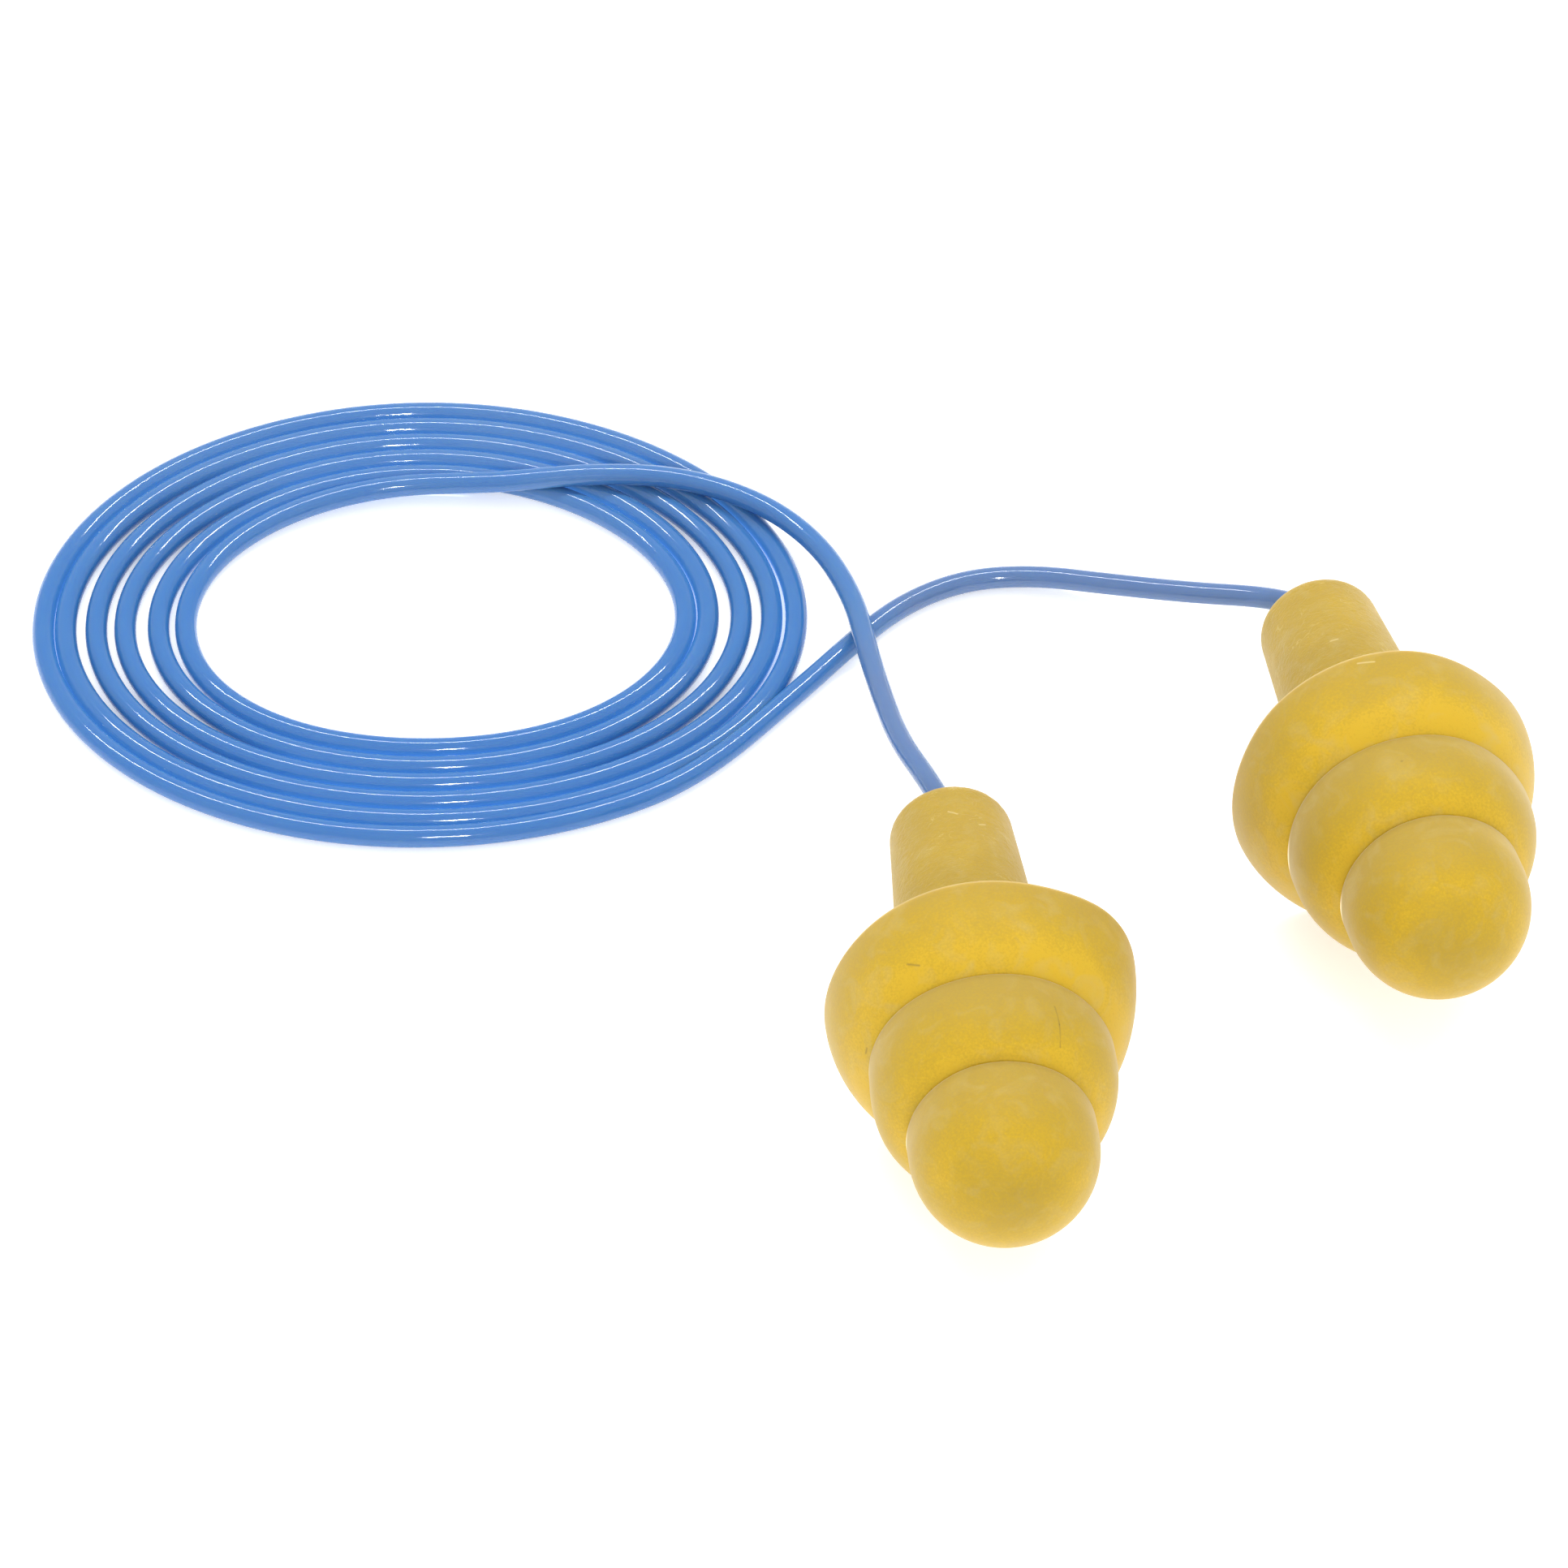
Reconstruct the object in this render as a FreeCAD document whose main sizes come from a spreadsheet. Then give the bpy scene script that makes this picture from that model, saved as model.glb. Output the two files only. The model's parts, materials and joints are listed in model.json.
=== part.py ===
"""A pair of corded, reusable ear plugs: two soft triple-flange mouldings joined by one thin vinyl
cord, whose slack is wound in a flat coil.  Millimetres, +Z up, standing on Z = 0.  The tips point
towards -Y.  The origin is under the middle of the box that holds the two plugs."""
import FreeCAD, Part
import math
import os
import Sketcher

SIZES = [
    # the moulding, along its own axis: 0 at the rim of the base flange, positive towards the tip
    ("base_rim_radius", 6.28, "largest flange, outside radius"),
    ("base_rim_at", 0.00, "largest flange, rim plane"),
    ("base_skirt", 0.07, "largest flange, straight part above the rim"),
    ("base_dome", 5.90, "largest flange, radius of the dome's outline"),
    ("middle_rim_radius", 5.03, "middle flange, outside radius"),
    ("middle_rim_at", 4.33, "middle flange, rim plane"),
    ("middle_skirt", 0.65, "middle flange, straight part above the rim"),
    ("middle_dome", 3.70, "middle flange, radius of the dome's outline"),
    ("tip_rim_radius", 3.79, "tip flange, outside radius"),
    ("tip_rim_at", 8.26, "tip flange, rim plane"),
    ("tip_skirt", 0.93, "tip flange, straight part above the rim"),
    ("tip_dome", 3.79, "tip flange, radius of the dome's outline: a half sphere"),
    ("lip", 0.36, "wall thickness at every rim, which ends in a full round"),
    ("hollow_drop", 0.70, "centre of every hollow's sphere below the rim, so walls thicken upwards"),
    ("core_radius", 2.40, "solid core between the flanges"),
    ("core_top", 11.40, "where the core ends inside the tip"),
    ("waist_at", 5.00, "where the stem has narrowed to the core"),
    ("stem_length", 11.64, "rim plane of the base flange to the stem's end face"),
    ("stem_end_radius", 2.57, "stem, at its end"),
    ("stem_root_radius", 3.22, "stem, at the base flange's rim plane"),
    ("stem_edge", 0.90, "rounding of the stem's end"),
    ("bore_depth", 6.00, "blind bore for the cord"),
    ("bond_length", 0.50, "cured adhesive at the bottom of the bore"),
    # the cord
    ("cord_thickness", 0.95, "outside diameter of the cord, and of the bore"),
    ("lead_inset", 1.30, "how deep inside the stem each lead's tube starts"),
    # where each plug lies: the centre of its base rim, its turn about Z and its nose-up tilt
    ("left_x", -8.445, "left plug, to the right of the origin"),
    ("left_y", -5.620, "left plug, beyond the origin"),
    ("left_turn", 5.1, "left plug, degrees that the tip turns towards +X"),
    ("left_tilt", 10.3, "left plug, degrees that the tip is raised"),
    ("right_x", 8.415, "right plug, to the right of the origin"),
    ("right_y", 6.750, "right plug, beyond the origin"),
    ("right_turn", 10.7, "right plug, degrees that the tip turns towards +X"),
    ("right_tilt", 12.5, "right plug, degrees that the tip is raised"),
    # the flat coil: its outside and its hole are ellipses
    ("coil_x", -32.055, "middle of the coil's outline"),
    ("coil_y", 20.970, "middle of the coil's outline"),
    ("coil_half_width", 16.70, "outside, along X"),
    ("coil_half_depth", 13.05, "outside, along Y"),
    ("hole_x", -31.315, "middle of the coil's hole"),
    ("hole_y", 21.130, "middle of the coil's hole"),
    ("hole_half_width", 10.29, "hole, along X"),
    ("hole_half_depth", 7.12, "hole, along Y"),
]

# Route of each lead from its plug to the coil, chosen by hand: (x, y, height of the centre line).
# The first two points, inside the stem and just outside it, follow from the plug.
LEFT_ROUTE = [
    (-10.29, 8.96, 3.49), (-11.46, 11.77, 2.85), (-12.21, 15.17, 2.15), (-12.77, 18.22, 1.70),
    (-13.36, 21.32, 1.66), (-14.85, 24.59, 1.55), (-17.37, 27.13, 1.50), (-20.96, 28.67, 1.47),
    (-24.91, 28.82, 1.47), (-28.21, 28.52, 1.47)]
RIGHT_ROUTE = [
    (4.49, 20.39, 2.52), (1.11, 21.36, 1.79), (-2.31, 22.47, 1.15), (-5.42, 23.47, 0.64),
    (-8.42, 23.37, 0.49), (-11.12, 21.97, 0.49), (-13.42, 19.57, 0.49), (-15.52, 16.97, 0.49)]
LEFT_STRAIGHT = 1.07      # straight run of the left lead outside its stem
RIGHT_STRAIGHT = 1.07     # straight run of the right lead outside its stem
TAIL_LENGTH = 4.00        # the outermost turn's straight end, which the right lead carries on
STEP_LENGTH = 2.50        # the innermost turn's end, lying on the coil, which the left lead carries on
ARC_SHARE = 0.45          # share of the shorter run that an arc takes up

doc = FreeCAD.newDocument("ear_plugs")
sheet = doc.addObject("Spreadsheet::Sheet", "Sizes")
for row, (alias, number, meaning) in enumerate(SIZES, start=1):
    sheet.set(f"A{row}", meaning)
    sheet.set(f"B{row}", str(number))
    sheet.setAlias(f"B{row}", alias)
doc.recompute()


def size(alias):
    """A driving dimension, read back from the sheet."""
    return float(sheet.get(alias))


def new_sketch(body, name, role):
    """An empty sketch on one of the body's own origin planes."""
    sketch = body.newObject("Sketcher::SketchObject", name)
    plane = next(item for item in body.Origin.OriginFeatures if item.Role == role)
    sketch.AttachmentSupport = (plane, [""])
    sketch.MapMode = "FlatFace"
    return sketch


def hold(sketch, *constraints):
    """Add plain constraints to a sketch."""
    for constraint in constraints:
        sketch.addConstraint(Sketcher.Constraint(*constraint))


def drive(sketch, name, formula, number, *constraint):
    """Add a dimension, named and bound to a formula of the sheet's cells."""
    index = sketch.addConstraint(Sketcher.Constraint(*constraint, number))
    sketch.renameConstraint(index, name)
    sketch.setExpression("Constraints." + name, formula)


def vector(x, y, z=0.0):
    return FreeCAD.Vector(x, y, z)


def turned(body, name, sketch):
    """Revolve a sketch all the way round the body's own Z axis."""
    feature = body.newObject("PartDesign::Revolution", name)
    feature.Profile = sketch
    feature.ReferenceAxis = (sketch, ["V_Axis"])
    feature.Angle = 360
    sketch.Visibility = False
    return feature


def stem_and_core(body):
    """The solid middle of the moulding: a drafted stem with a rounded end, narrowing to the core
    that carries the flanges."""
    sketch = new_sketch(body, body.Name + "_stem_outline", "XZ_Plane")
    end, edge, length = size("stem_end_radius"), size("stem_edge"), size("stem_length")
    root, core = size("stem_root_radius"), size("core_radius")
    corners = [vector(0, -length), vector(end - edge, -length), vector(end, edge - length),
               vector(root, 0), vector(core, size("waist_at")), vector(core, size("core_top")),
               vector(0, size("core_top"))]
    sketch.addGeometry(Part.LineSegment(corners[0], corners[1]), False)
    middle = vector(end - edge, edge - length)
    rounding = Part.Circle(middle, vector(0, 0, 1), edge)
    sketch.addGeometry(Part.ArcOfCircle(rounding, -math.pi / 2, 0), False)
    for here, there in zip(corners[2:], corners[3:] + corners[:1]):
        sketch.addGeometry(Part.LineSegment(here, there), False)
    last = 6
    hold(sketch, *[("Coincident", line, 2, line + 1, 1) for line in range(last)],
         ("Coincident", last, 2, 0, 1), ("PointOnObject", 0, 1, -2), ("Vertical", last),
         ("Horizontal", 0), ("Horizontal", 5), ("Vertical", 4),
         ("Vertical", 1, 3, 0, 2), ("Horizontal", 1, 3, 1, 2))
    drive(sketch, "length", "Sizes.stem_length", length, "DistanceY", 0, 1, -1, 1)
    drive(sketch, "edge", "Sizes.stem_edge", edge, "Radius", 1)
    drive(sketch, "end_radius", "Sizes.stem_end_radius", end, "DistanceX", -1, 1, 1, 2)
    drive(sketch, "root_radius", "Sizes.stem_root_radius", root, "DistanceX", -1, 1, 2, 2)
    hold(sketch, ("PointOnObject", 2, 2, -1))
    drive(sketch, "core_radius", "Sizes.core_radius", core, "DistanceX", -1, 1, 3, 2)
    drive(sketch, "waist_at", "Sizes.waist_at", size("waist_at"), "DistanceY", -1, 1, 3, 2)
    drive(sketch, "core_top", "Sizes.core_top", size("core_top"), "DistanceY", -1, 1, 5, 2)
    turned(body, body.Name + "_stem", sketch)


def flange(body, which):
    """One umbrella flange: a short straight skirt, then a dome whose wall thickens upwards.  The
    dome's outline is a quarter circle, its hollow is a sphere, and the rim between them is a full
    round, which hangs just clear of the next dome."""
    radius, rim_at = size(which + "_rim_radius"), size(which + "_rim_at")
    skirt, dome = size(which + "_skirt"), size(which + "_dome")
    lip, hollow_drop = size("lip"), size("hollow_drop")
    is_round = dome == radius                     # the dome is a whole half sphere, with no flat top
    top = rim_at + skirt + dome
    inner_foot = radius - lip
    inner_centre = rim_at - hollow_drop
    inner_radius = math.hypot(inner_foot, hollow_drop)
    sketch = new_sketch(body, f"{body.Name}_{which}_outline", "XZ_Plane")
    rim, shoulder = vector(radius, rim_at), vector(radius, rim_at + skirt)
    crown, inner_crown = vector(0, top), vector(0, inner_centre + inner_radius)
    flat = vector(0, 0, 1)
    sketch.addGeometry(Part.LineSegment(rim, shoulder), False)
    outside = Part.Circle(vector(radius - dome, rim_at + skirt), flat, dome)
    sketch.addGeometry(Part.ArcOfCircle(outside, 0, math.pi / 2), False)
    sketch.addGeometry(Part.LineSegment(crown, inner_crown), False)
    inside = Part.Circle(vector(0, inner_centre), flat, inner_radius)
    foot_angle = math.atan2(hollow_drop, inner_foot)
    sketch.addGeometry(Part.ArcOfCircle(inside, foot_angle, math.pi / 2), False)
    round_lip = Part.Circle(vector(radius - lip / 2, rim_at), flat, lip / 2)
    sketch.addGeometry(Part.ArcOfCircle(round_lip, math.pi, 2 * math.pi), False)
    hold(sketch, ("Coincident", 0, 2, 1, 1), ("Coincident", 2, 2, 3, 2), ("Coincident", 3, 1, 4, 1),
         ("Coincident", 4, 2, 0, 1), ("Vertical", 0), ("Vertical", 2), ("PointOnObject", 2, 1, -2),
         ("Horizontal", 1, 3, 0, 2), ("PointOnObject", 3, 3, -2),
         ("Horizontal", 4, 1, 4, 2), ("Horizontal", 4, 3, 4, 2))
    if is_round:
        hold(sketch, ("Coincident", 1, 2, 2, 1), ("PointOnObject", 1, 3, -2))
    else:
        sketch.addGeometry(Part.LineSegment(vector(radius - dome, top), crown), False)
        hold(sketch, ("Coincident", 1, 2, 5, 1), ("Coincident", 5, 2, 2, 1), ("Horizontal", 5),
             ("Vertical", 1, 2, 1, 3))
        drive(sketch, "dome", f"Sizes.{which}_dome", dome, "Radius", 1)
    drive(sketch, "rim_radius", f"Sizes.{which}_rim_radius", radius, "DistanceX", -1, 1, 0, 1)
    drive(sketch, "skirt", f"Sizes.{which}_skirt", skirt, "DistanceY", 0, 1, 0, 2)
    drive(sketch, "lip", "Sizes.lip", lip, "DistanceX", 4, 1, 4, 2)
    drive(sketch, "hollow_drop", "Sizes.hollow_drop", hollow_drop, "DistanceY", 3, 3, 0, 1)
    if rim_at:
        drive(sketch, "rim_at", f"Sizes.{which}_rim_at", rim_at, "DistanceY", -1, 1, 0, 1)
    else:
        hold(sketch, ("PointOnObject", 0, 1, -1))
    turned(body, f"{body.Name}_{which}_flange", sketch)


def bore(body):
    """The blind bore that the cord's end is bonded into, cut from the stem's end face."""
    sketch = new_sketch(body, body.Name + "_bore_outline", "XZ_Plane")
    radius, depth, length = size("cord_thickness") / 2, size("bore_depth"), size("stem_length")
    corners = [vector(0, -length), vector(radius, -length), vector(radius, depth - length),
               vector(0, depth - length)]
    for here, there in zip(corners, corners[1:] + corners[:1]):
        sketch.addGeometry(Part.LineSegment(here, there), False)
    hold(sketch, *[("Coincident", line, 2, (line + 1) % 4, 1) for line in range(4)],
         ("Horizontal", 0), ("Vertical", 1), ("Horizontal", 2), ("Vertical", 3),
         ("PointOnObject", 0, 1, -2))
    drive(sketch, "radius", "Sizes.cord_thickness / 2", radius, "DistanceX", 0, 1, 0, 2)
    drive(sketch, "depth", "Sizes.bore_depth", depth, "DistanceY", 1, 1, 1, 2)
    drive(sketch, "length", "Sizes.stem_length", length, "DistanceY", 0, 1, -1, 1)
    cut = body.newObject("PartDesign::Groove", body.Name + "_bore")
    cut.Profile = sketch
    cut.ReferenceAxis = (sketch, ["V_Axis"])
    cut.Angle = 360
    sketch.Visibility = False
    return cut


def lie(side):
    """Placement of a plug: its own +Z runs from stem to tip.  It lies on the base flange's lip,
    with its tip raised and turned."""
    turn, tilt = size(side + "_turn"), size(side + "_tilt")
    lean = FreeCAD.Rotation(vector(1, 0), 90 - tilt)
    yaw = FreeCAD.Rotation(vector(0, 0, 1), turn)
    half_lip = size("lip") / 2
    height = (size("base_rim_radius") - half_lip) * math.cos(math.radians(tilt)) + half_lip
    return FreeCAD.Placement(vector(size(side + "_x"), size(side + "_y"), height), yaw * lean)


def ear_plug(side):
    """One whole moulding, laid in its place."""
    body = doc.addObject("PartDesign::Body", side + "_plug")
    body.Label = side + "_plug"
    stem_and_core(body)
    for which in ("tip", "middle", "base"):
        flange(body, which)
    doc.recompute()
    uncut = body.Shape.Volume
    bore(body)
    doc.recompute()
    removed = uncut - body.Shape.Volume
    expected = math.pi * (size("cord_thickness") / 2) ** 2 * size("bore_depth")
    print(f"{side} bore takes out {removed:.3f} mm3 of {expected:.3f}")
    body.Placement = lie(side)
    return body


def in_bore(side, name, start, length):
    """A round piece that fills a stretch of the bore; start counts from the bore's bottom."""
    piece = doc.addObject("Part::Cylinder", f"{side}_{name}")
    piece.Label = f"{side}_{name}"
    piece.setExpression("Radius", "Sizes.cord_thickness / 2")
    piece.setExpression("Height", length)
    bottom = size("bore_depth") - size("stem_length")
    down = FreeCAD.Placement(vector(0, 0, bottom - start), FreeCAD.Rotation(vector(1, 0), 180))
    piece.Placement = lie(side).multiply(down)
    return piece


def lead_points(side, straight, route):
    """The route's corners, from inside the stem to the coil."""
    place = lie(side)
    end_face = -size("stem_length")
    first = place.multVec(vector(0, 0, end_face + size("lead_inset")))
    second = place.multVec(vector(0, 0, end_face - straight))
    return [first, second] + [vector(*point) for point in route]


def lead_path(points):
    """Straight runs joined by tangent arcs; each arc is as large as its shorter run allows."""
    edges, radii = [], []
    here = points[0]
    for before, corner, after in zip(points, points[1:], points[2:]):
        into = (corner - before).normalize()
        out_of = (after - corner).normalize()
        half_turn = into.getAngle(out_of) / 2
        reach = ARC_SHARE * min((corner - before).Length, (after - corner).Length)
        radius = reach / math.tan(half_turn)
        start, finish = corner - into * reach, corner + out_of * reach
        inward = (out_of - into).normalize()
        sagitta = radius / math.cos(half_turn) - radius
        edges.append(Part.LineSegment(here, start).toShape())
        edges.append(Part.Arc(start, corner + inward * sagitta, finish).toShape())
        radii.append(round(radius, 1))
        here = finish
    edges.append(Part.LineSegment(here, points[-1]).toShape())
    return Part.Wire(edges), radii


def lead(side, points):
    """The cord's tube from the stem to the coil."""
    path, radii = lead_path(points)
    radius = size("cord_thickness") / 2
    along = (points[1] - points[0]).normalize()
    section = Part.Wire([Part.Circle(points[0], along, radius).toShape()])
    tube = path.makePipeShell([section], True, False)
    piece = doc.addObject("Part::Feature", side + "_lead")
    piece.Label = side + "_lead"
    piece.Shape = tube
    expected = math.pi * radius ** 2 * path.Length
    print(f"{side} lead: {path.Length:.2f} mm long, volume {tube.Volume:.3f} of {expected:.3f}, "
          f"lowest {tube.optimalBoundingBox(False).ZMin:.3f}, arc radii {radii}")
    return piece


def ellipse(sketch, first, name, x, y, half_width, half_depth):
    """An ellipse lined up with the axes, its centre and half sizes bound to the sheet's cells.
    Its axes and focal points are geometry of their own, which carries the dimensions."""
    centre = vector(size(x), size(y))
    wide, deep = size(half_width), size(half_depth)
    sketch.addGeometry(Part.Ellipse(centre + vector(wide, 0), centre + vector(0, deep), centre), False)
    sketch.exposeInternalGeometry(first)
    major, minor = first + 1, first + 2
    hold(sketch, ("Horizontal", major))
    drive(sketch, name + "_width", f"2 * Sizes.{half_width}", 2 * wide, "Distance", major)
    drive(sketch, name + "_depth", f"2 * Sizes.{half_depth}", 2 * deep, "Distance", minor)
    drive(sketch, name + "_x", f"-Sizes.{x}", -centre.x, "DistanceX", first, 3, -1, 1)
    drive(sketch, name + "_y", f"Sizes.{y}", centre.y, "DistanceY", -1, 1, first, 3)
    return sketch.GeometryCount


def along_lead(name, end, towards, length, height):
    """A square bar that ends flush against a lead's end face and runs on past it into the coil."""
    bar = doc.addObject("Part::Box", name)
    bar.setExpression("Length", f"{length}mm")
    bar.setExpression("Width", "Sizes.cord_thickness")
    bar.setExpression("Height", height)
    thickness = size("cord_thickness")
    heading = math.degrees(math.atan2(towards.y, towards.x))
    turn = FreeCAD.Rotation(vector(0, 0, 1), heading)
    corner = vector(end.x, end.y) + turn.multVec(vector(0, -thickness / 2))
    bar.Placement = FreeCAD.Placement(corner, turn)
    return bar


def coil(left_points, right_points):
    """The outer shape of the wound cord: a flat oval ring one cord thick, with the straight tail
    of its outermost turn, and the end of its innermost turn, which lies on top."""
    ring = doc.addObject("PartDesign::Body", "coil_ring")
    sketch = new_sketch(ring, "coil_outline", "XY_Plane")
    hole_first = ellipse(sketch, 0, "outside", "coil_x", "coil_y", "coil_half_width", "coil_half_depth")
    ellipse(sketch, hole_first, "hole", "hole_x", "hole_y", "hole_half_width", "hole_half_depth")
    pad = ring.newObject("PartDesign::Pad", "coil_turns")
    pad.Profile = sketch
    pad.setExpression("Length", "Sizes.cord_thickness")
    sketch.Visibility = False
    tail = along_lead("coil_tail", right_points[-1], right_points[-1] - right_points[-2],
                      TAIL_LENGTH, "Sizes.cord_thickness")
    step = along_lead("coil_step", left_points[-1], left_points[-1] - left_points[-2],
                      STEP_LENGTH, "2 * Sizes.cord_thickness")
    whole = doc.addObject("Part::MultiFuse", "cord_coil")
    whole.Shapes = [ring, tail, step]
    whole.Refine = True
    whole.Label = "cord_coil"
    return whole


pieces = []
routes = {"left": lead_points("left", LEFT_STRAIGHT, LEFT_ROUTE),
          "right": lead_points("right", RIGHT_STRAIGHT, RIGHT_ROUTE)}
for side, points in routes.items():
    pieces.append(ear_plug(side))
    pieces.append(in_bore(side, "bond", 0.0, "Sizes.bond_length"))
    pieces.append(in_bore(side, "cord_end", size("bond_length"),
                          "Sizes.bore_depth - Sizes.bond_length - Sizes.lead_inset"))
    pieces.append(lead(side, points))
pieces.append(coil(routes["left"], routes["right"]))
doc.recompute()

for item in doc.Objects:
    if "Invalid" in item.State or "Error" in item.State:
        raise RuntimeError(f"{item.Name} did not build: {item.State}")
for piece in pieces:
    if piece.Shape.isNull() or not piece.Shape.isValid() or not piece.Shape.Solids:
        raise RuntimeError(f"{piece.Label} is not a valid solid")

os.makedirs("parts", exist_ok=True)
for piece in pieces:
    box = piece.Shape.optimalBoundingBox(False)
    print(f"{piece.Label}: {len(piece.Shape.Solids)} solid, {piece.Shape.Volume:.2f} mm3, "
          f"x {box.XMin:.2f} {box.XMax:.2f}, y {box.YMin:.2f} {box.YMax:.2f}, "
          f"z {box.ZMin:.3f} {box.ZMax:.3f}")
    piece.Shape.exportStep(f"parts/{piece.Label}.step")
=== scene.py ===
"""A pair of corded, reusable ear plugs on a pale surface: two soft yellow mouldings with three
umbrella flanges and a finger stem each, and one thin blue vinyl cord between them, its slack wound
in a flat oval coil.  Metres, +Z up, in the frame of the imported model."""
import json

import bpy
import numpy as np
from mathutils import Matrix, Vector


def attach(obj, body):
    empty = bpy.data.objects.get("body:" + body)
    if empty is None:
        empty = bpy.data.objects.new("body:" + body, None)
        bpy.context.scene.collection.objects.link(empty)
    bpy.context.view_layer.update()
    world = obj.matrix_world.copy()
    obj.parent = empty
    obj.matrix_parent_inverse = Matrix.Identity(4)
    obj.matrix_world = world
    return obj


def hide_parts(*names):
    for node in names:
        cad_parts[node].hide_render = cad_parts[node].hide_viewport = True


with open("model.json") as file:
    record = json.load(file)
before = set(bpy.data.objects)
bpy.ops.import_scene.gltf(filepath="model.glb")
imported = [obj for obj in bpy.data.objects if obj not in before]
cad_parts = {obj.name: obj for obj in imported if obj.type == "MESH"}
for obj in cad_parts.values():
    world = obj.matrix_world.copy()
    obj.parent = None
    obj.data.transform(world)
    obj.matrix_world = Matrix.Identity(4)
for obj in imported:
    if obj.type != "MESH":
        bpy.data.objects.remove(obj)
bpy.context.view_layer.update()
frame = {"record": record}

scene = bpy.context.scene
mounts = {mount["name"]: mount for mount in frame["record"]["mounts"]}

# ---- Camera ------------------------------------------------------------------------------------
# A long lens, well above the table, on the side that the tips point to.  Its height is an angle
# above the table, and it looks at a point between the coil and the plugs.
look_at = Vector((-0.016315, 0.01187, 0.0))
camera_distance, camera_height = 0.325, np.radians(48.0)
camera_data = bpy.data.cameras.new("camera")
camera_data.sensor_width = 36.0
camera_data.lens = 176.0
camera = bpy.data.objects.new("camera", camera_data)
scene.collection.objects.link(camera)
towards_camera = Vector((0.0, -np.cos(camera_height), np.sin(camera_height)))
camera.location = look_at + camera_distance * towards_camera
camera.rotation_euler = towards_camera.to_track_quat("Z", "Y").to_euler()
scene.camera = camera

# ---- Cord --------------------------------------------------------------------------------------
# One uncut length of soft, glossy, slightly see-through blue vinyl.  Each end is glued into a blind
# bore in a plug's stem.  The slack lies in one flat layer of loose oval turns.
cord_thickness, points_around_cord = 0.00095, 20
# along a plug's axis, back from its base flange's rim: where the cord begins in its bore, and the
# stem's end face; then how far out of that face the cord runs straight on
cord_bottom, stem_end, straight_out = 0.00614, 0.01164, 0.00107
# the two leads, each from its plug to the coil
left_route = [
    (-0.01029, 0.00896, 0.00349), (-0.01146, 0.01177, 0.00285), (-0.01221, 0.01517, 0.00215),
    (-0.01277, 0.01822, 0.00170), (-0.01336, 0.02132, 0.00166), (-0.01485, 0.02459, 0.00155),
    (-0.01737, 0.02713, 0.00150), (-0.02096, 0.02867, 0.00147), (-0.02491, 0.02882, 0.00147),
    (-0.02831, 0.02860, 0.00120)]
right_route = [
    (0.00449, 0.02039, 0.00252), (0.00111, 0.02136, 0.00179), (-0.00231, 0.02247, 0.00115),
    (-0.00542, 0.02347, 0.00064), (-0.00842, 0.02337, 0.00049), (-0.01112, 0.02197, 0.00049),
    (-0.01342, 0.01957, 0.00049), (-0.01552, 0.01697, 0.00049)]
# how far each turn reaches from the coil's middle, innermost turn first
coil_middle = (-0.031815, 0.02097)
reach_left = [0.01026, 0.01146, 0.01290, 0.01414, 0.01547, 0.01643]
reach_front = [0.00748, 0.00852, 0.00949, 0.01052, 0.01155, 0.01250]
reach_right = [0.01060, 0.01127, 0.01223, 0.01366, 0.01498, 0.01604, 0.01700]
reach_back = [0.00780, 0.00876, 0.00972, 0.01068, 0.01164, 0.01260]
# the turns' angles in degrees run from the coil's right-hand side round by its back; the left lead
# still comes down over the first of them, until the landed angle
points_a_turn, first_angle, last_angle = 20, 80, 2120
landed_angle, landing_height = 170, 0.00050
# where the coil ends and the leads begin, in shares of the coil's half size, and how softly (the
# leads are painted paler, as if light came through them); then how much paler the coil's back is
# painted, a painted highlight, and over what depth
coil_rim, rim_fade = 0.98, 0.25
back_painted_paleness, back_depth = 0.35, 0.010
# the room, in cord thicknesses, in which a neighbour counts as beside a turn, and how softly it
# ends; how bright the painted light (emission) on a flank is, and how much of that it loses where
# the coil runs towards the front
near_room, near_fade = 1.30, 0.20
flank_painted_brightness, end_on_loss = 0.95, 0.22
# the bump's pattern: its size around the cord, and its cycles for each metre along it
bump_around, bump_along = 3.0, 600.0


def mount_point(name, along):
    """The point on a plug's axis that lies that far behind its base flange's rim."""
    place, heading = np.array(mounts[name]["pos_m"]), np.array(mounts[name]["axis"])
    return place - heading * along


def cord_end(name):
    """The cord's straight start: from the bottom of the bore to just outside the stem."""
    return [mount_point(name, cord_bottom), mount_point(name, (cord_bottom + stem_end) / 2),
            mount_point(name, stem_end + straight_out)]


def coil_turns():
    """Points of an oval spiral.  Its width and its depth grow from turn to turn by the lists above,
    in straight steps over the angle; every point is pushed out a little, because a smooth spline
    cuts inside its points."""
    angle = np.radians(np.arange(first_angle, last_angle + 1, 360 / points_a_turn))
    sides = np.array([reach for pair in zip(reach_right, reach_left) for reach in pair]
                     + reach_right[-1:])
    depths = np.array([reach for pair in zip(reach_back, reach_front) for reach in pair])
    width = np.interp(angle, np.pi * np.arange(len(sides)), sides)
    depth = np.interp(angle, np.pi * (np.arange(len(depths)) + 0.5), depths)
    push = 1 / np.cos(np.pi / points_a_turn)
    landing = np.clip((np.radians(landed_angle) - angle)
                      / np.radians(landed_angle - first_angle), 0, 1)
    return np.stack([coil_middle[0] + push * width * np.cos(angle),
                     coil_middle[1] + push * depth * np.sin(angle),
                     cord_thickness / 2 + landing_height * landing ** 2], axis=1)


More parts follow.
